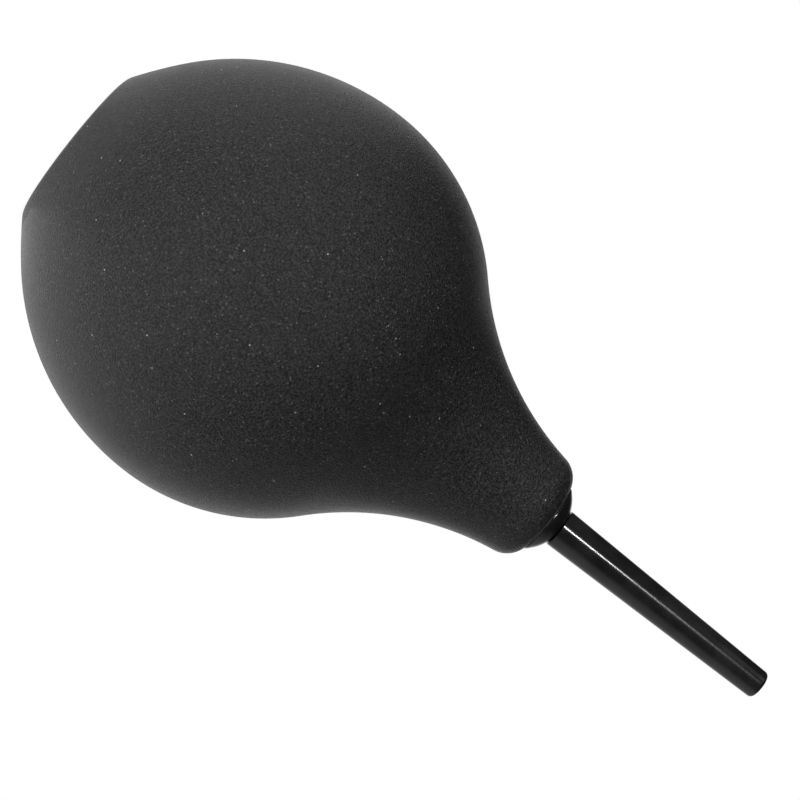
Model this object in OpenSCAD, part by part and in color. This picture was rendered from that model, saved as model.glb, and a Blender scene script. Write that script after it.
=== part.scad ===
// Hand-squeezed dust blower: a pear-shaped rubber bulb with a one-way inlet valve in its
// flat base and a tapered nozzle screwed into a collar in its neck.
// Origin at the centre of the flat base, +Z up the bulb's axis towards the nozzle.

/* [Bulb] */
// Greatest outside diameter
bulb_d = 92; // [88:1:96]
// Height of the widest ring above the base
belly_z = 48.5; // [47.5:0.5:49.5]
// Outline radius below the widest ring
belly_r = 54.4; // [54:0.2:55]
// Outline radius of the flatter stretch that runs down to the base
foot_r = 100; // [90:5:110]
// Angle below the widest ring where that stretch starts
foot_from = 50; // [49:1:51]
// Outline radius above the widest ring
crown_r = 46.9; // [46:0.3:47.8]
// Radius of the hollow curve that leads into the neck
flare_r = 63.8; // [60.8:1:66.8]
// Height of the neck's end
neck_z = 123.3; // [122.3:0.5:124.3]
// Diameter of the neck where its end starts to round off
neck_d = 24.2; // [23.7:0.1:24.7]
// Rounding of the neck's end
lip_r = 5.3; // [4.8:0.1:5.5]
// Rounding of the base's edge
base_edge_r = 4; // [3:0.5:4.5]
// Thickness of the rubber wall
wall = 2.8; // [2.2:0.2:3.4]
// Thickness of the rubber under the air space
base_wall = 4.6; // [4.4:0.1:5]

/* [Squeezed wall] */
// Diameter of the stretch of wall under the thumb, and of the one under the fingers
panel_d = 40; // [32:1:44]
// Gap around each stretch
panel_gap = 0.3; // [0.2:0.1:0.5]

/* [Collar] */
// Diameter of the flange on the neck's end
flange_d = 15.6; // [15.2:0.2:16]
// Height of the top of the flange's dome, were it not bored
flange_h = 3.84; // [3.7:0.02:4]
// Radius of the dome
dome_r = 10.4; // [10:0.2:11]
// Rounding of the flange's edge
flange_edge_r = 0.4; // [0.3:0.1:0.5]
// Diameter of the spigot inside the neck
spigot_d = 12; // [11:0.5:13]
// Length of the spigot
spigot_l = 15; // [14:1:17]

/* [Nozzle] */
// Diameter at the shoulder
nozzle_root_d = 8.5; // [8.1:0.1:8.9]
// Diameter at the tip
nozzle_tip_d = 6.3; // [5.9:0.1:6.7]
// Length from shoulder to tip
nozzle_l = 53.8; // [48.8:1:58.8]
// Rounding of the tip's edge
tip_edge_r = 1; // [0.6:0.1:1.1]
// Diameter of the screwed stub below the shoulder
stub_d = 5; // [4.8:0.1:5.2]
// Length of the stub
stub_l = 8; // [7:0.5:9]
// Diameter of the outlet at the tip
outlet_d = 2.4; // [2:0.1:2.6]
// Length of the outlet
outlet_l = 12; // [8:1:16]
// Diameter of the air passage behind the outlet
passage_d = 3; // [2.8:0.1:3.2]

/* [Seal ring] */
// Thickness of the ring's round section
seal_wire_d = 1; // [0.8:0.1:1]

/* [Inlet valve] */
// Diameter of the hole through the rubber base
valve_hole_d = 15; // [14:0.5:16]
// Diameter of the valve's flange under the base
valve_flange_d = 20; // [19:0.5:21]
// Diameter of each air inlet hole
inlet_d = 1.4; // [1:0.1:1.6]
// Number of inlet holes around the middle one
inlet_count = 6; // [5:1:6]
// Diameter of the valve disc
disc_d = 10.8; // [10.4:0.2:11.2]
// Thickness of the valve disc
disc_t = 0.8; // [0.6:0.1:1]
// How far the disc lifts
disc_lift = 1.2; // [0.8:0.1:1.4]

/* [Hidden] */
$fn = 96;

rubber_black = "#2b2b2d";
plastic_black = "#141416";
seal_black = "#1c1c1c";
disc_clear = "#c9c7bd";
cage_white = "#d8d8d4";

// How far one outline curve is drawn past another, and a rounding past its own arc, to cross cleanly
bite = 0.01;
hair = 0.002;
// Clearance between a piece that turns or slides and the one that guides it
running = 0.05;

// Centres of the outline's arcs, as [distance from the axis, height]
belly = [bulb_d / 2 - belly_r, belly_z];
crown = [bulb_d / 2 - crown_r, belly_z];
flare = circle_meet(crown, crown_r + flare_r, [neck_d / 2, neck_z - lip_r], flare_r);
foot = belly - (foot_r - belly_r) * direction(-foot_from);
base_edge = [foot.x + sqrt(pow(foot_r - base_edge_r, 2) - pow(foot.y - base_edge_r, 2)), base_edge_r];
lip = [flare.x - sqrt(pow(flare_r + lip_r, 2) - pow(flare.y - neck_z + lip_r, 2)), neck_z - lip_r];
// Direction from the crown's centre to the flare's, and the height where the two curves meet
flare_dir = (flare - crown) / norm(flare - crown);
flare_start_z = belly_z + crown_r * flare_dir.y;

// The neck's bore: the air space closes in to it at 45 degrees, just above the spigot's end
spigot_end = neck_z - spigot_l;
throat_z = spigot_end + 2;
barb_h = 2.4;
barb_proud = 0.5;
barb_depths = [8, 3];

// Collar
flange_top = neck_z + flange_h;
flange_edge = [
    flange_d / 2 - flange_edge_r,
    flange_top - dome_r + sqrt(pow(dome_r - flange_edge_r, 2) - pow(flange_d / 2 - flange_edge_r, 2))
];
socket_depth = 10;
seal_ring_r = stub_d / 2 + running + seal_wire_d / 2;
seal_seat_r = seal_ring_r + seal_wire_d / 2 + 0.1;

// Nozzle: the sharp shoulder stands on the seal ring, just off the rim that the ring's seat leaves
shoulder_z = flange_top - dome_r + sqrt(pow(dome_r, 2) - pow(seal_seat_r, 2)) + 0.1;
seal_seat_z = shoulder_z - seal_wire_d - 2 * running;
tip_z = shoulder_z + nozzle_l;

// Inlet valve, from the underside up
valve_recess = 0.5;
valve_flange_t = 1.6;
valve_floor_z = 3;
seat_h = 0.5;
seat_r = 3.9;
seat_t = 0.8;
inlet_pitch_r = 2.1;
chamber_d = disc_d + 1;
disc_z = valve_floor_z + seat_h + running;
cage_z = disc_z + disc_t + disc_lift + running;
cage_t = 1.6;
valve_top_z = cage_z + cage_t + 0.6;
cage_holes = 6;
cage_hole_d = 2;
cage_hole_pitch_r = 3.6;
valve_barb = [1, 1.8];

// The outer of the two points where circle (a, ra) crosses circle (b, rb), b lying above a
function circle_meet(a, ra, b, rb) =
    let (d = norm(b - a), u = (b - a) / d, along = (ra * ra - rb * rb + d * d) / (2 * d))
    a + along * u + sqrt(ra * ra - along * along) * [u.y, -u.x];

function direction(angle) = [cos(angle), sin(angle)];

// What a rounding of radius r about a centre takes away between two directions
module corner_cut(centre, r, from, to) {
    reach = r * 3;
    middle = (from + to) / 2;
    translate(centre)
        difference() {
            polygon([
                [0, 0], reach * direction(from), 1.5 * reach * direction(middle), reach * direction(to)
            ]);
            circle(r + hair);
        }
}

// The part of a circle that lies between two heights, out from the axis
module circle_band(centre, r, low, high) {
    intersection() {
        translate(centre) circle(r);
        polygon([[0, low], [bulb_d / 2, low], [bulb_d / 2, high], [0, high]]);
    }
}

// Half section of the bulb as if it were solid, drawn in by t and standing on height bottom
module bulb_half(t, bottom) {
    foot_top = belly_z - (belly_r - t) * sin(foot_from);
    circle_band(foot, foot_r - t, bottom, foot_top);
    circle_band(belly, belly_r - t, foot_top, belly_z);
    circle_band(crown, crown_r - t, belly_z, flare_start_z + 3);
    inside = crown + 0.75 * crown_r * flare_dir;
    outside = crown + 1.3 * crown_r * flare_dir;
    difference() {
        polygon([[0, inside.y], inside, outside, [outside.x, neck_z], [0, neck_z]]);
        translate(flare) circle(flare_r + t + bite);
    }
}

module rubber_half() {
    to_foot = atan2(base_edge.y - foot.y, base_edge.x - foot.x);
    to_flare = atan2(flare.y - lip.y, flare.x - lip.x);
    difference() {
        bulb_half(0, 0);
        corner_cut(base_edge, base_edge_r, -90, to_foot);
        corner_cut(lip, lip_r, to_flare, 90);
        air_half();
        square([valve_hole_d / 2, base_wall * 2]);
        square([valve_flange_d / 2 + 0.1, valve_recess + valve_flange_t]);
        translate([0, throat_z - 1]) square([spigot_d / 2, neck_z]);
    }
}

module air_half() {
    rise = bulb_d / 2 - spigot_d / 2;
    intersection() {
        bulb_half(wall, base_wall);
        polygon([
            [0, 0], [bulb_d / 2, 0], [bulb_d / 2, throat_z - rise], [spigot_d / 2, throat_z], [0, throat_z]
        ]);
    }
}

// The turn puts the surface's seam in the fingers' stretch, which is cut out of the shell
module bulb_wall() {
    rotate(90) rotate_extrude() rubber_half();
}

// A round plug through the wall at the widest ring, towards -Y for side -1 or +Y for side 1
module panel_plug(d, side) {
    translate([0, side * bulb_d / 4, belly_z])
        rotate([-90 * side, 0, 0]) cylinder(h = bulb_d / 2, d = d);
}

module squeezed_wall(side) {
    intersection() {
        bulb_wall();
        panel_plug(panel_d - 2 * panel_gap, side);
    }
}

module bulb_shell() {
    color(rubber_black)
        difference() {
            bulb_wall();
            panel_plug(panel_d, -1);
            panel_plug(panel_d, 1);
        }
}

module thumb_panel() {
    color(rubber_black) squeezed_wall(-1);
}

module finger_panel() {
    color(rubber_black) squeezed_wall(1);
}

// Domed flange on the neck's end, with a barbed spigot pressed into the neck
module nozzle_collar() {
    to_dome = atan2(flange_edge.y - flange_top + dome_r, flange_edge.x);
    spigot_r = spigot_d / 2;
    barb_r = spigot_r + barb_proud;
    barbs = [
        for (depth = barb_depths)
            each [
                [spigot_r, neck_z - depth - barb_h], [barb_r, neck_z - depth], [spigot_r, neck_z - depth]
            ]
    ];
    color(plastic_black)
        rotate_extrude()
            difference() {
                union() {
                    intersection() {
                        translate([0, flange_top - dome_r]) circle(dome_r);
                        translate([0, neck_z]) square([flange_d / 2, flange_h + 1]);
                    }
                    polygon([
                        [0, spigot_end], [spigot_r, spigot_end], each barbs,
                        [spigot_r, neck_z + 0.5], [0, neck_z + 0.5]
                    ]);
                }
                corner_cut(flange_edge, flange_edge_r, 0, to_dome);
                translate([0, spigot_end - 1]) square([passage_d / 2, neck_z]);
                translate([0, flange_top - socket_depth]) square([stub_d / 2 + running, neck_z]);
                translate([0, seal_seat_z]) square([seal_seat_r, neck_z]);
            }
}

// Tapered tube with a sharp shoulder and a narrower screwed stub behind it
module nozzle() {
    tip_edge = [nozzle_tip_d / 2 - tip_edge_r, tip_z - tip_edge_r];
    outlet_z = tip_z - outlet_l;
    step = (passage_d - outlet_d) / 2;
    color(plastic_black)
        rotate_extrude()
            difference() {
                union() {
                    translate([0, shoulder_z - stub_l]) square([stub_d / 2, stub_l + 1]);
                    polygon([
                        [0, shoulder_z], [nozzle_root_d / 2, shoulder_z], [nozzle_tip_d / 2, tip_edge.y],
                        tip_edge, [0, tip_edge.y]
                    ]);
                    translate([0, tip_edge.y - 0.5]) square([tip_edge.x, tip_edge_r + 0.5]);
                    intersection() {
                        translate(tip_edge) circle(tip_edge_r);
                        translate(tip_edge - [0.1, 0.1]) square(tip_edge_r + 0.2);
                    }
                }
                polygon([
                    [0, shoulder_z - stub_l - 1], [passage_d / 2, shoulder_z - stub_l - 1],
                    [passage_d / 2, outlet_z - step], [outlet_d / 2, outlet_z],
                    [outlet_d / 2, tip_z + 1], [0, tip_z + 1]
                ]);
            }
}

// Ring that seals the shoulder against the collar
module nozzle_seal() {
    color(seal_black)
        rotate_extrude()
            translate([seal_ring_r, seal_seat_z + running + seal_wire_d / 2]) circle(d = seal_wire_d);
}

// Housing that snaps into the base: flange below, raised seat inside, barb above the rubber
module valve_body() {
    color(plastic_black)
        difference() {
            rotate_extrude() valve_body_half();
            translate([0, 0, -1]) cylinder(h = valve_floor_z + 2, d = inlet_d);
            for (i = [0 : inlet_count - 1])
                rotate(i * 360 / inlet_count)
                    translate([inlet_pitch_r, 0, -1]) cylinder(h = valve_floor_z + 2, d = inlet_d);
        }
}

module valve_body_half() {
    flange_r = valve_flange_d / 2;
    sleeve_r = valve_hole_d / 2;
    flange_z = valve_recess + valve_flange_t;
    difference() {
        polygon([
            [0, valve_recess], [flange_r, valve_recess], [flange_r, flange_z], [sleeve_r, flange_z],
            [sleeve_r, base_wall], [sleeve_r + valve_barb.x, base_wall],
            [sleeve_r, base_wall + valve_barb.y], [sleeve_r, valve_top_z], [0, valve_top_z]
        ]);
        difference() {
            translate([0, valve_floor_z]) square([chamber_d / 2, valve_top_z]);
            translate([seat_r - seat_t, valve_floor_z - 1]) square([seat_t, seat_h + 1]);
        }
    }
}

// Loose disc that falls on the seat and lifts as the bulb refills
module valve_disc() {
    color(disc_clear)
        translate([0, 0, disc_z]) cylinder(h = disc_t, d = disc_d);
}

// Perforated stop pressed into the top of the housing
module valve_cage() {
    color(cage_white)
        difference() {
            translate([0, 0, cage_z]) cylinder(h = cage_t, d = chamber_d);
            for (i = [0 : cage_holes - 1])
                rotate(i * 360 / cage_holes)
                    translate([cage_hole_pitch_r, 0, cage_z - 1]) cylinder(h = cage_t + 2, d = cage_hole_d);
        }
}

bulb_shell();
thumb_panel();
finger_panel();
nozzle_collar();
nozzle();
nozzle_seal();
valve_body();
valve_disc();
valve_cage();
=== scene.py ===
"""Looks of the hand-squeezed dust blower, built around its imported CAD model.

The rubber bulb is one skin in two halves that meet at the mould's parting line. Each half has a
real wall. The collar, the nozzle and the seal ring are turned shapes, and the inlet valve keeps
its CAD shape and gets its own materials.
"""

import math

import bpy
from mathutils import Matrix, Vector


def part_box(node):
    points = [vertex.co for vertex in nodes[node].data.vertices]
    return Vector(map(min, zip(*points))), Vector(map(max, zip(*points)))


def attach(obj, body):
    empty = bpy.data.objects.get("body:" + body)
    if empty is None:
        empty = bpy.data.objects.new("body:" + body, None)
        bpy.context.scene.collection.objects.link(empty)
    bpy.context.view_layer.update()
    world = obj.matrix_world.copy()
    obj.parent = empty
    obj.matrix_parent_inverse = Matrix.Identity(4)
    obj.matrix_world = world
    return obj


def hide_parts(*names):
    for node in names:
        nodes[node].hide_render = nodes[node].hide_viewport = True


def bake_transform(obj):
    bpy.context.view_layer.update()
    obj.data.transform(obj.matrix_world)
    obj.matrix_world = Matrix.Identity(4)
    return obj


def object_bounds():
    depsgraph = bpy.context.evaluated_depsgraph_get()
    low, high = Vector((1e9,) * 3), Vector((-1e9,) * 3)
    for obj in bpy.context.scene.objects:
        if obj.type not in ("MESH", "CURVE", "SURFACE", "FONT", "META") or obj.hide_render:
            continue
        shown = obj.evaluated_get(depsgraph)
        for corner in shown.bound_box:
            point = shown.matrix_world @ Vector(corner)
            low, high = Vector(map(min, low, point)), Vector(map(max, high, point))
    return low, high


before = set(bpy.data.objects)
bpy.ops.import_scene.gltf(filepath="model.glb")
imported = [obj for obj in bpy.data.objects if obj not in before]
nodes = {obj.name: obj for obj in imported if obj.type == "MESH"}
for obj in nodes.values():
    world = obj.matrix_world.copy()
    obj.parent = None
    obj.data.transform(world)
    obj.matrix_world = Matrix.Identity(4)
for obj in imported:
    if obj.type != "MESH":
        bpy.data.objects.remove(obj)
cad_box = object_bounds()

MM = 0.001

# Driving dimensions, from the frame
BULB_R = cad_box[1].x
NECK_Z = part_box("bulb_shell")[1].z
TIP_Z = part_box("nozzle")[1].z
NOZZLE_ROOT_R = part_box("nozzle")[1].x
COLLAR_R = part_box("nozzle_collar")[1].x

# Outline of the bulb: arc radii and heights, as the CAD model has them
BELLY_Z = 48.5 * MM
BELLY_ARC_R = 54.4 * MM
FOOT_ARC_R = 100 * MM
FOOT_FROM = 50
CROWN_ARC_R = 46.9 * MM
FLARE_ARC_R = 63.8 * MM
NECK_R = 12.1 * MM
LIP_R = 5.3 * MM
BASE_EDGE_R = 4 * MM
RECESS_R = 10.1 * MM
RECESS_DEPTH = 4.8 * MM
NECK_BORE_R = 6.2 * MM
NECK_BORE_DEPTH = 3.5 * MM
BASE_WALL = 4.6 * MM
SIDE_WALL = 2.8 * MM
NECK_WALL = 2.4 * MM

# The mould's parting line, a faint raised line on the bulb's two sides
PARTING_H = 0.07 * MM
PARTING_W = 0.35 * MM

# The painted highlight round the neck's mouth: where its light band starts and where it is full,
# below the top
RIM_HIGHLIGHT_FROM = 0.38 * MM
RIM_HIGHLIGHT_FULL = 0.30 * MM

# Where the squeeze starts and where it is full, as distances from the axis
THUMB_FROM = 26 * MM
FINGERS_FROM = 31 * MM

# Fineness of the meshes
COARSE_STEP = 1.5 * MM
FINE_STEP = 0.4 * MM
HALF_TURN_COLUMNS = 92
TURNED_COLUMNS = 128
SHARP_DEGREES = 40

# Radiance of the studio. Each glow is a soft patch of light far away: the direction to its middle,
# the cosines of the angles where it starts and where it is full, and its radiance.
ROOM = 0.02
GLOWS = [
    ((1, 0.3, 0.1), 0.3, 0.9, 0.5),
    ((0.07, 1, 0), 0.78, 0.97, 1.0),
]


# ---------------------------------------------------------------- outlines


def arc(centre, radius, start, stop, step):
    """Points of an arc between two angles in degrees, about step apart, the last one left out."""
    count = max(2, math.ceil(abs(math.radians(stop - start)) * radius / step))
    turns = [math.radians(start + (stop - start) * i / count) for i in range(count)]
    return [(centre[0] + radius * math.cos(t), centre[1] + radius * math.sin(t)) for t in turns]


def line(start, stop, step):
    """Points of a straight line, about step apart, the last one left out."""
    count = max(1, math.ceil(math.dist(start, stop) / step))
    return [
        (start[0] + (stop[0] - start[0]) * i / count, start[1] + (stop[1] - start[1]) * i / count)
        for i in range(count)
    ]


def angle_to(start, stop):
    """Direction from one point to another, in degrees."""
    return math.degrees(math.atan2(stop[1] - start[1], stop[0] - start[0]))


def circle_meet(a, ra, b, rb):
    """The outer of the two points where circle (a, ra) crosses circle (b, rb), b lying above a."""
    d = math.dist(a, b)
    ux, uy = (b[0] - a[0]) / d, (b[1] - a[1]) / d
    along = (ra * ra - rb * rb + d * d) / (2 * d)
    side = math.sqrt(ra * ra - along * along)
    return (a[0] + along * ux + side * uy, a[1] + along * uy - side * ux)


def bulb_outline():
    """The skin's outline from the valve's recess to the neck's bore, as (radius, height) points."""
    belly = (BULB_R - BELLY_ARC_R, BELLY_Z)
    crown = (BULB_R - CROWN_ARC_R, BELLY_Z)
    flare = circle_meet(crown, CROWN_ARC_R + FLARE_ARC_R, (NECK_R, NECK_Z - LIP_R), FLARE_ARC_R)
    turn = math.radians(FOOT_FROM)
    past = FOOT_ARC_R - BELLY_ARC_R
    foot = (belly[0] - past * math.cos(turn), belly[1] + past * math.sin(turn))
    edge_x = foot[0] + math.sqrt((FOOT_ARC_R - BASE_EDGE_R) ** 2 - (foot[1] - BASE_EDGE_R) ** 2)
    edge = (edge_x, BASE_EDGE_R)
    lip_x = flare[0] - math.sqrt((FLARE_ARC_R + LIP_R) ** 2 - (flare[1] - NECK_Z + LIP_R) ** 2)
    lip = (lip_x, NECK_Z - LIP_R)
    to_edge = angle_to(foot, edge)
    to_flare = angle_to(crown, flare)
    to_lip = angle_to(flare, lip) % 360
    points = line((RECESS_R, RECESS_DEPTH), (RECESS_R, 0), COARSE_STEP)
    points += line((RECESS_R, 0), (edge[0], 0), COARSE_STEP)
    points += arc(edge, BASE_EDGE_R, -90, to_edge, FINE_STEP)
    points += arc(foot, FOOT_ARC_R, to_edge, -FOOT_FROM, COARSE_STEP)
    points += arc(belly, BELLY_ARC_R, -FOOT_FROM, 0, COARSE_STEP)
    points += arc(crown, CROWN_ARC_R, 0, to_flare, COARSE_STEP)
    points += arc(flare, FLARE_ARC_R, to_flare + 180, to_lip, COARSE_STEP)
    points += arc(lip, LIP_R, to_lip - 180, 90, FINE_STEP)
    points += line((lip[0], NECK_Z), (NECK_BORE_R, NECK_Z), FINE_STEP)
    points += line((NECK_BORE_R, NECK_Z), (NECK_BORE_R, NECK_Z - NECK_BORE_DEPTH), FINE_STEP)
    return points + [(NECK_BORE_R, NECK_Z - NECK_BORE_DEPTH)]


# ---------------------------------------------------------------- meshes


def mesh_object(name, vertices, faces):
    mesh = bpy.data.meshes.new(name)
    mesh.from_pydata(vertices, [], faces)
    mesh.update()
    mesh.shade_smooth()
    piece = bpy.data.objects.new(name, mesh)
    bpy.context.scene.collection.objects.link(piece)
    return piece


def turned(name, outline):
    """A solid turned about the Z axis from a closed outline of (radius, height) points."""
    rows = len(outline)
    turns = [2 * math.pi * c / TURNED_COLUMNS for c in range(TURNED_COLUMNS)]
    vertices = [(r * math.cos(turn), r * math.sin(turn), z) for turn in turns for r, z in outline]
    faces = []
    for c in range(TURNED_COLUMNS):
        a, b = c * rows, (c + 1) % TURNED_COLUMNS * rows
        for i in range(rows):
            after = (i + 1) % rows
            faces.append((a + i, b + i, b + after, a + after))
    piece = mesh_object(name, vertices, faces)
    piece.data.set_sharp_from_angle(angle=math.radians(SHARP_DEGREES))
    return piece


def half_turn_angles():
    """Angles of a half turn, close together at both ends, where the parting line is."""
    distances = [0, 0.12 * MM, 0.25 * MM, 0.4 * MM, 0.6 * MM, 0.9 * MM, 1.4 * MM]
    near = [distance / BULB_R for distance in distances]
    span = math.pi - 2 * near[-1]
    inner = [near[-1] + span * i / HALF_TURN_COLUMNS for i in range(1, HALF_TURN_COLUMNS)]
    return near + inner + [math.pi - angle for angle in reversed(near)]


def bulb_half(name, side):
    """Half of the bulb's skin, on the -Y side for side -1, with its wall as a Solidify modifier."""
    outline = bulb_outline()
    rows = len(outline)
    angles = half_turn_angles()
    vertices = []
    for angle in angles:
        across = abs(math.sin(angle))
        for r, z in outline:
            outside = r > RECESS_R + MM / 2 and MM / 1000 < z < NECK_Z
            lift = PARTING_H * math.exp(-((r * across / PARTING_W) ** 2)) if outside else 0
            radius = r + lift
            vertices.append((radius * math.cos(angle), side * radius * math.sin(angle), z))
    faces = []
    for c in range(len(angles) - 1):
        for i in range(rows - 1):
            a, b = c * rows + i, (c + 1) * rows + i
            faces.append((a, b, b + 1, a + 1) if side > 0 else (a, a + 1, b + 1, b))
    piece = mesh_object(name, vertices, faces)
    mark_seam(piece.data, rows, len(angles))
    add_wall(piece, outline, len(angles))
    return piece


def mark_seam(mesh, rows, columns):
    """Makes the edges of both cuts sharp, so that the shading runs straight on across the seam."""
    sharp = mesh.attributes.new("sharp_edge", "BOOLEAN", "EDGE")
    last = rows * (columns - 1)
    for edge in mesh.edges:
        a, b = edge.vertices
        on_cut = (a < rows and b < rows) or (a >= last and b >= last)
        sharp.data[edge.index].value = on_cut


def add_wall(piece, outline, columns):
    """Gives the skin its thickness: thick in the base, thinner up the neck."""
    group = piece.vertex_groups.new(name="wall")
    rows = len(outline)
    for i, (r, z) in enumerate(outline):
        if z < BASE_EDGE_R:
            wall = BASE_WALL
        elif z > NECK_Z - 2.5 * LIP_R:
            wall = NECK_WALL
        else:
            wall = SIDE_WALL
        group.add([c * rows + i for c in range(columns)], wall / BASE_WALL, "REPLACE")
    solid = piece.modifiers.new("wall", "SOLIDIFY")
    solid.thickness = BASE_WALL
    solid.offset = -1
    solid.vertex_group = "wall"
    solid.use_rim = True


# ---------------------------------------------------------------- materials


def set_range(node, low, high, to_low, to_high):
    """Fills in a Map Range node's limits."""
    node.inputs["From Min"].default_value = low
    node.inputs["From Max"].default_value = high
    node.inputs["To Min"].default_value = to_low
    node.inputs["To Max"].default_value = to_high


class Nodes:
    """Short names for building a material's nodes."""

    def __init__(self, name):
        self.material = bpy.data.materials.new(name)
        self.material.use_nodes = True
        self.tree = self.material.node_tree
        self.shader = self.tree.nodes["Principled BSDF"]
        self.place = self.add("ShaderNodeTexCoord").outputs["Object"]

    def add(self, kind, **settings):
        node = self.tree.nodes.new(kind)
        for key, value in settings.items():
            setattr(node, key, value)
        return node

    def link(self, source, target):
        self.tree.links.new(source, target)

    def noise(self, scale, detail, roughness=0.5):
        node = self.add("ShaderNodeTexNoise")
        node.inputs["Scale"].default_value = scale
        node.inputs["Detail"].default_value = detail
        node.inputs["Roughness"].default_value = roughness
        self.link(self.place, node.inputs["Vector"])
        return node.outputs["Fac"]

    def height(self):
        node = self.add("ShaderNodeSeparateXYZ")
        self.link(self.place, node.inputs["Vector"])
        return node.outputs["Z"]

    def cells(self, scale):
        node = self.add("ShaderNodeTexVoronoi")
        node.inputs["Scale"].default_value = scale
        self.link(self.place, node.inputs["Vector"])
        return node.outputs["Distance"]

    def ramp(self, value, low, high, to_low, to_high):
        """Maps value from low..high to to_low..to_high, clamped and smooth."""
        node = self.add("ShaderNodeMapRange", interpolation_type="SMOOTHSTEP")
        set_range(node, low, high, to_low, to_high)
        self.link(value, node.inputs["Value"])
        return node.outputs["Result"]

    def times(self, a, b):
        node = self.add("ShaderNodeMath", operation="MULTIPLY")
        self.link(a, node.inputs[0])
        self.link(b, node.inputs[1])
        return node.outputs[0]

    def mix(self, factor, a, b):
        node = self.add("ShaderNodeMix", data_type="RGBA")
        self.link(factor, node.inputs["Factor"])
        for socket, colour in ((node.inputs[6], a), (node.inputs[7], b)):
            if isinstance(colour, tuple):
                socket.default_value = (*colour, 1)
            else:
                self.link(colour, socket)
        return node.outputs[2]

    def bump(self, height, distance, strength, under=None):
        node = self.add("ShaderNodeBump")
        node.inputs["Distance"].default_value = distance
        node.inputs["Strength"].default_value = strength
        self.link(height, node.inputs["Height"])
        if under is not None:
            self.link(under, node.inputs["Normal"])
        return node.outputs["Normal"]

    def set(self, **values):
        """Sets the shader's own sockets: numbers and colours directly, anything else as a link."""
        for key, value in values.items():
            socket = self.shader.inputs[key.replace("_", " ")]
            if isinstance(value, tuple):
                socket.default_value = (*value, 1)
            elif isinstance(value, (int, float)):
                socket.default_value = value
            else:
                self.link(value, socket)
        return self.material


def soft_touch_rubber():
    """Matte black moulded rubber: a fine grain with painted glints, faint handling marks and a few
    specks of dust.

    A painted highlight runs round the neck's mouth: a light grey band painted into the colour where
    the rim would catch the light.
    """
    n = Nodes("bulb_rubber")
    dark, light = (0.004, 0.004, 0.0042), (0.010, 0.010, 0.0105)
    # The light grey below is a painted highlight round the neck's mouth, where the rim would catch
    # the light.
    painted_rim_highlight = (0.4, 0.4, 0.4)
    # The glint colour is a painted glint: light points set into the colour in place of the grain's
    # sparkle.
    speckle, painted_glint_tone, speck = (0.040, 0.040, 0.041), (0.10, 0.10, 0.10), (0.35, 0.35, 0.35)
    grain = n.noise(3000, 2)
    mottle = n.noise(2600, 1)
    handling = n.noise(26, 5, 0.55)
    mouth = n.ramp(n.height(), NECK_Z - RIM_HIGHLIGHT_FROM, NECK_Z - RIM_HIGHLIGHT_FULL, 0, 1)
    # Where the painted glints sit: small round points scattered over the rubber.
    painted_glint_mask = n.ramp(n.cells(800), 0.06, 0.2, 1, 0)
    dust = n.ramp(n.cells(250), 0.03, 0.055, 1, 0)
    tint = n.mix(n.ramp(handling, 0.35, 0.7, 0, 1), dark, light)
    # Paints the light band of highlight into the colour round the neck's mouth.
    tint = n.mix(mouth, tint, painted_rim_highlight)
    tint = n.mix(n.ramp(mottle, 0.3, 0.75, 0, 1), tint, speckle)
    # Paints the glints into the colour as light points.
    tint = n.mix(painted_glint_mask, tint, painted_glint_tone)
    tint = n.mix(dust, tint, speck)
    return n.set(
        Base_Color=tint,
        Roughness=n.ramp(handling, 0.3, 0.75, 0.40, 0.34),
        Normal=n.bump(grain, 0.0003, 1.0),
        IOR=1.45,
        Specular_IOR_Level=0.23,
    )


def moulded_plastic(name, colour, low_rough, high_rough, wave, wear=None):
    """Black injection-moulded plastic: slight flow marks, and fine scuffs in its polish.

    wave is the depth of the flow marks in metres. wear is an optional (low, high) pair of heights
    between which the polish turns duller.
    """
    n = Nodes(name)
    flow = n.noise(140, 3)
    scuff = n.noise(1800, 5, 0.7)
    lighter = tuple(c * 1.7 + 0.004 for c in colour)
    tint = n.mix(n.ramp(flow, 0.35, 0.7, 0, 1), colour, lighter)
    rough = n.ramp(scuff, 0.4, 0.75, low_rough, high_rough)
    if wear:
        rough = n.times(rough, n.ramp(n.height(), *wear, 1.0, 1.3))
    relief = n.bump(flow, wave, 0.3)
    relief = n.bump(scuff, 0.000001, 0.25, relief)
    return n.set(Base_Color=tint, Roughness=rough, Normal=relief, IOR=1.5)


def milky_silicone():
    """Milky silicone rubber, slightly cloudy and translucent."""
    n = Nodes("disc_rubber")
    cloud = n.noise(420, 3)
    tint = n.mix(cloud, (0.50, 0.48, 0.43), (0.62, 0.60, 0.55))
    relief = n.bump(n.noise(2000, 2), 0.00002, 0.4)
    return n.set(Base_Color=tint, Roughness=0.42, Normal=relief, Subsurface_Weight=0.3)


def natural_plastic():
    """Undyed moulded plastic, slightly cloudy."""
    n = Nodes("cage_plastic")
    cloud = n.noise(300, 3)
    tint = n.mix(cloud, (0.58, 0.58, 0.55), (0.68, 0.68, 0.65))
    relief = n.bump(n.noise(1500, 3), 0.00002, 0.4)
    return n.set(Base_Color=tint, Roughness=0.5, Normal=relief)


def dress(piece, material):
    piece.data.materials.clear()
    piece.data.materials.append(material)


# ---------------------------------------------------------------- pieces


def make_bulb(material):
    """The bulb's two halves, in place of the CAD shell and its two pressed panels, which are
    hidden.
    """
    halves = [
        ("bulb_front", -1, "thumb_wall", "thumb_panel", THUMB_FROM),
        ("bulb_back", 1, "finger_wall", "finger_panel", FINGERS_FROM),
    ]
    for name, side, body, panel, squeeze_from in halves:
        piece = bulb_half(name, side)
        dress(piece, material)
        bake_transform(piece)
        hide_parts("bulb_shell", panel)


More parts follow.
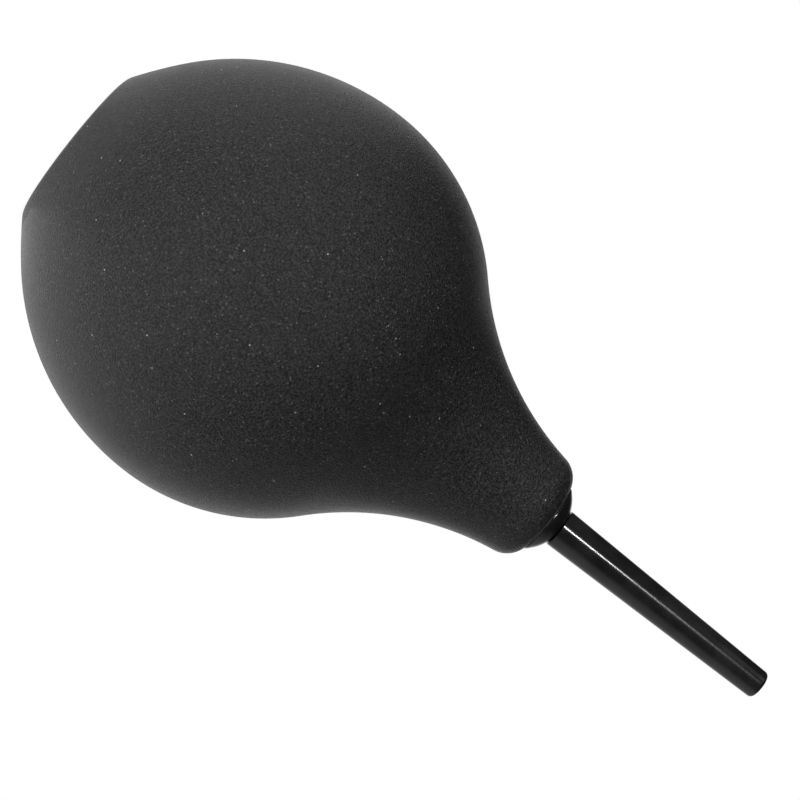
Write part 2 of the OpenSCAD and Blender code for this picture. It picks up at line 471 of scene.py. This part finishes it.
def make_collar(material):
    """Domed flange with a rounded edge, a counterbore for the seal ring and a barbed spigot."""
    dome_h, dome_r, edge_r = 3.84 * MM, 10.4 * MM, 0.15 * MM
    top = NECK_Z + dome_h
    dome = (0, top - dome_r)
    edge_x = COLLAR_R - edge_r
    edge = (edge_x, dome[1] + math.sqrt((dome_r - edge_r) ** 2 - edge_x**2))
    to_edge = angle_to(dome, edge)
    seat_r, seat_z = 3.65 * MM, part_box("nozzle_seal")[0].z - 0.05 * MM
    seat_top = math.degrees(math.acos(seat_r / dome_r))
    socket_r, socket_z = 2.55 * MM, top - 10 * MM
    bore_r, end_z = 1.5 * MM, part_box("nozzle_collar")[0].z
    spigot_r, chamfer = 6 * MM, 0.4 * MM
    barb_l, barb_h = 2.4 * MM, 0.5 * MM
    outline = arc(edge, edge_r, 0, to_edge, 0.08 * MM)
    outline += arc(dome, dome_r, to_edge, seat_top, 0.4 * MM)
    outline += [
        (seat_r, dome[1] + math.sqrt(dome_r**2 - seat_r**2)),
        (seat_r, seat_z),
        (socket_r, seat_z),
        (socket_r, socket_z),
        (bore_r, socket_z),
        (bore_r, end_z),
        (spigot_r - chamfer, end_z),
        (spigot_r, end_z + chamfer),
    ]
    for barb_top in (NECK_Z - 8 * MM, NECK_Z - 3 * MM):
        outline += [
            (spigot_r, barb_top - barb_l),
            (spigot_r + barb_h, barb_top),
            (spigot_r, barb_top),
        ]
    outline += [(spigot_r, NECK_Z), (COLLAR_R - 0.1 * MM, NECK_Z), (COLLAR_R, NECK_Z + 0.05 * MM)]
    piece = turned("collar", outline)
    dress(piece, material)
    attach(piece, "bulb")
    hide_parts("nozzle_collar")


def make_nozzle(material):
    """Tapered tube: a sharp shoulder, a rounded tip, a stepped bore and a stub with its thread."""
    stub_l, stub_r, thread_h, pitch = 8 * MM, 2.5 * MM, 0.22 * MM, 1.6 * MM
    stub_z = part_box("nozzle")[0].z
    shoulder_z = stub_z + stub_l
    tip_r, edge_r = 3.15 * MM, 1 * MM
    outlet_r, outlet_l, outlet_break = 1.2 * MM, 12 * MM, 0.15 * MM
    passage_r = 1.5 * MM
    shoulder_break = 0.12 * MM
    outline = [(stub_r - 0.4 * MM, stub_z)]
    turns = int((shoulder_z - stub_z - 1.2 * MM) / pitch)
    for i in range(turns):
        z = stub_z + 0.5 * MM + i * pitch
        outline += [
            (stub_r - thread_h, z),
            (stub_r, z + 0.4 * pitch),
            (stub_r, z + 0.55 * pitch),
            (stub_r - thread_h, z + 0.95 * pitch),
        ]
    outline += [
        (stub_r - thread_h, shoulder_z),
        (NOZZLE_ROOT_R - shoulder_break, shoulder_z),
        (NOZZLE_ROOT_R, shoulder_z + shoulder_break),
    ]
    outline += line((NOZZLE_ROOT_R, shoulder_z + 0.5 * MM), (tip_r, TIP_Z - edge_r), 2 * MM)
    outline += arc((tip_r - edge_r, TIP_Z - edge_r), edge_r, 0, 90, 0.1 * MM)
    outline += [
        (tip_r - edge_r, TIP_Z),
        (outlet_r + outlet_break, TIP_Z),
        (outlet_r, TIP_Z - outlet_break),
        (outlet_r, TIP_Z - outlet_l),
        (passage_r, TIP_Z - outlet_l - 0.3 * MM),
        (passage_r, stub_z),
    ]
    piece = turned("nozzle_tube", outline)
    dress(piece, material)
    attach(piece, "tube")
    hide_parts("nozzle")


def make_seal(material):
    """The ring under the nozzle's shoulder, round in section."""
    low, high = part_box("nozzle_seal")
    section_r = (high.z - low.z) / 2
    centre = (high.x - section_r, (low.z + high.z) / 2)
    piece = turned("seal_ring", arc(centre, section_r, 0, 360, 0.2 * MM))
    dress(piece, material)
    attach(piece, "seal")
    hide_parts("nozzle_seal")


# ---------------------------------------------------------------- studio


def area_light(name, place, target, width, height, power):
    """A rectangular lamp that faces its target: sizes in metres, power in watts."""
    lamp = bpy.data.lights.new(name, "AREA")
    lamp.shape = "RECTANGLE"
    lamp.size = width
    lamp.size_y = height
    lamp.energy = power
    thing = bpy.data.objects.new(name, lamp)
    thing.location = place
    thing.rotation_euler = (Vector(target) - thing.location).to_track_quat("-Z", "Y").to_euler()
    bpy.context.scene.collection.objects.link(thing)


def make_floor():
    """A plain white floor with a glow of its own, so that it stays as pale as the background."""
    n = Nodes("floor")
    n.set(
        Base_Color=(0.5, 0.5, 0.5),
        Roughness=0.9,
        Emission_Color=(1, 1, 1),
        Emission_Strength=0.92,
    )
    half = 3.0
    corners = [(-half, -half, 0), (half, -half, 0), (half, half, 0), (-half, half, 0)]
    floor = mesh_object("floor", corners, [(0, 1, 2, 3)])
    dress(floor, n.material)


def make_world():
    """White to the camera. As a light it is a dim room with a few soft glows."""
    world = bpy.data.worlds.new("studio")
    bpy.context.scene.world = world
    world.use_nodes = True
    tree = world.node_tree
    link = tree.links.new
    background = tree.nodes["Background"]
    background.inputs["Color"].default_value = (1, 1, 1, 1)
    direction = tree.nodes.new("ShaderNodeTexCoord").outputs["Generated"]
    light = None
    for axis, start, full, radiance in GLOWS:
        dot = tree.nodes.new("ShaderNodeVectorMath")
        dot.operation = "DOT_PRODUCT"
        dot.inputs[1].default_value = Vector(axis).normalized()
        link(direction, dot.inputs[0])
        glow = tree.nodes.new("ShaderNodeMapRange")
        glow.interpolation_type = "SMOOTHSTEP"
        set_range(glow, start, full, 0, radiance)
        link(dot.outputs["Value"], glow.inputs["Value"])
        total = tree.nodes.new("ShaderNodeMath")
        total.inputs[1].default_value = ROOM
        link(glow.outputs["Result"], total.inputs[0])
        if light is not None:
            link(light, total.inputs[1])
        light = total.outputs[0]
    path = tree.nodes.new("ShaderNodeLightPath")
    strength = tree.nodes.new("ShaderNodeMix")
    strength.inputs["B"].default_value = 1.0
    link(light, strength.inputs["A"])
    link(path.outputs["Is Camera Ray"], strength.inputs["Factor"])
    link(strength.outputs["Result"], background.inputs["Strength"])


def make_lights():
    """A soft key light, a strip for the nozzle's streak, and a weak light up from the floor."""
    area_light("key", (-0.62, -0.36, 0.58), (0, 0, 0.08), 0.40, 0.40, 0.4)
    area_light("strip", (-0.31, -0.74, 0.22), (0, 0, 0.22), 0.030, 0.17, 2.8)
    area_light("low", (0.08, -0.085, 0.002), (0.08, -0.085, 1), 0.13, 0.18, 0.025)


def make_camera():
    """Level with the belly, close in, and rolled so that the nozzle points down to the right."""
    distance = 0.52
    height = 0.050
    target = Vector((-0.0003, 0, 0.0842))
    roll = math.radians(38.33)
    data = bpy.data.cameras.new("camera")
    data.sensor_width = 36
    data.lens = 113.7
    camera = bpy.data.objects.new("camera", data)
    bpy.context.scene.collection.objects.link(camera)
    place = Vector((0, -distance, height))
    back = (place - target).normalized()
    axis_right = Vector((0, 0, 1)) - back * back.z
    axis_right.normalize()
    across = back.cross(axis_right)
    right = axis_right * math.cos(roll) + across * math.sin(roll)
    up = back.cross(right)
    rotation = Matrix((right, up, back)).transposed()
    camera.matrix_world = Matrix.Translation(place) @ rotation.to_4x4()
    data.clip_start = 0.01
    data.clip_end = 20
    bpy.context.scene.camera = camera


make_camera()
make_world()
make_lights()
make_floor()

collar_black, nozzle_black = (0.006, 0.006, 0.0065), (0.008, 0.008, 0.0085)
seal_black, valve_black = (0.012, 0.012, 0.012), (0.012, 0.012, 0.013)
tube_wear = (NECK_Z + 8 * MM, TIP_Z - 10 * MM)

make_bulb(soft_touch_rubber())
make_collar(moulded_plastic("collar_plastic", collar_black, 0.16, 0.26, 0.00004))
make_nozzle(moulded_plastic("nozzle_plastic", nozzle_black, 0.13, 0.18, 0.00002, tube_wear))
make_seal(moulded_plastic("seal_rubber", seal_black, 0.4, 0.5, 0.00002))

dress(nodes["valve_body"], moulded_plastic("valve_plastic", valve_black, 0.4, 0.55, 0.00003))
dress(nodes["valve_disc"], milky_silicone())
dress(nodes["valve_cage"], natural_plastic())

bpy.context.scene.view_settings.view_transform = "Standard"
